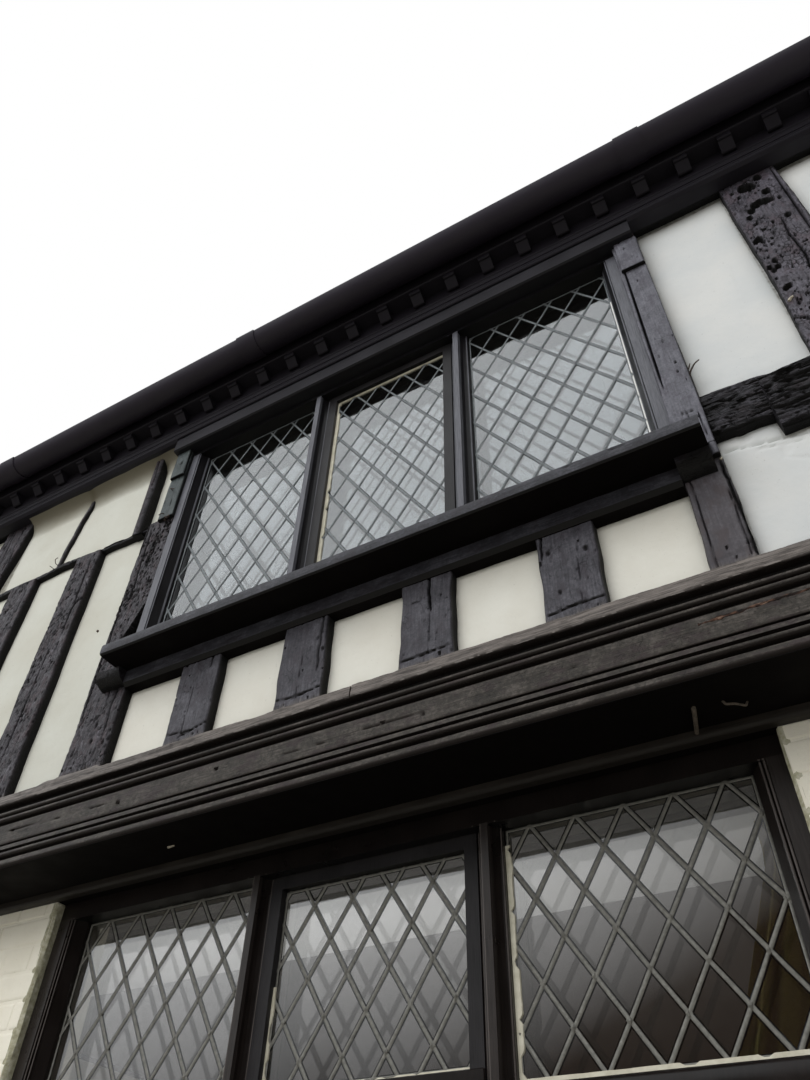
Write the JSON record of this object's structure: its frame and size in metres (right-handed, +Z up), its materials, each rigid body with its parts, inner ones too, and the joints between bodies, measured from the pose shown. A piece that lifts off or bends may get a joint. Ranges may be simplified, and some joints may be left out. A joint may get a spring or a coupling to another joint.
{
  "type": "jettied half timbered house, two storeys",
  "caption": "House with a painted brick ground storey, a jettied timber frame with plaster panels, leaded windows, a moulded bressummer and a modillion cornice under a steep tiled roof.",
  "frame": {"origin": "ground level under the middle of the house, midway between the two eaves", "axes": "+X along the street to the right seen from the street, +Y from the street into the house, +Z up"},
  "size_m": [5.46, 5.264, 7.5775],
  "materials": {
    "weathered_timber": "matt",
    "painted_timber": "satin",
    "cream_timber": "satin",
    "floor_boards": "matt",
    "plaster": "matt",
    "painted_brick": "matt",
    "stone_flags": "matt",
    "clay_tile": "matt",
    "old_glass": "gloss",
    "painted_iron": "satin"
  },
  "bodies": {
    "root": {"ground_floor": "stone_flags", "front_wall": "painted_brick", "rear_wall": "painted_brick", "left_wall": "painted_brick", "right_wall": "painted_brick", "ground_wall_plate": "weathered_timber", "head_batten": "painted_timber", "threshold": "stone_flags", "door_frame": "painted_timber", "door": "painted_timber", "door_lintel": "weathered_timber", "ground_window_frame": "painted_timber", "ground_window_sill": "painted_timber", "casements": "painted_timber", "window_glass": "old_glass", "secondary_frames": "cream_timber", "secondary_glass": "old_glass", "bressummer": "weathered_timber", "jetty_soffit": "painted_timber", "floor_joists": "weathered_timber", "ceiling": "plaster", "upper_floor": "floor_boards", "sill_beams": "weathered_timber", "corner_posts": "weathered_timber", "front_studs": "weathered_timber", "short_studs": "weathered_timber", "mid_rails": "weathered_timber", "front_panels": "plaster", "plaster_cove": "plaster", "apron_rail": "painted_timber", "upper_window_sill": "painted_timber", "upper_window_frame": "painted_timber", "window_trim": "painted_timber", "window_head_board": "painted_timber", "wall_plates": "weathered_timber", "cornices": "painted_timber", "cornice_blocks": "painted_timber", "gutters": "painted_iron", "left_side_frame": "weathered_timber", "right_side_frame": "weathered_timber", "side_panels": "plaster", "rear_frame": "weathered_timber", "rear_panels": "plaster", "rear_window_frames": "painted_timber", "front_rafters": "weathered_timber", "rear_rafters": "weathered_timber", "ridge_board": "weathered_timber", "front_roof_slope": "clay_tile", "rear_roof_slope": "clay_tile", "ridge_tiles": "clay_tile", "bargeboards": "painted_timber"}
  },
  "joints": []
}
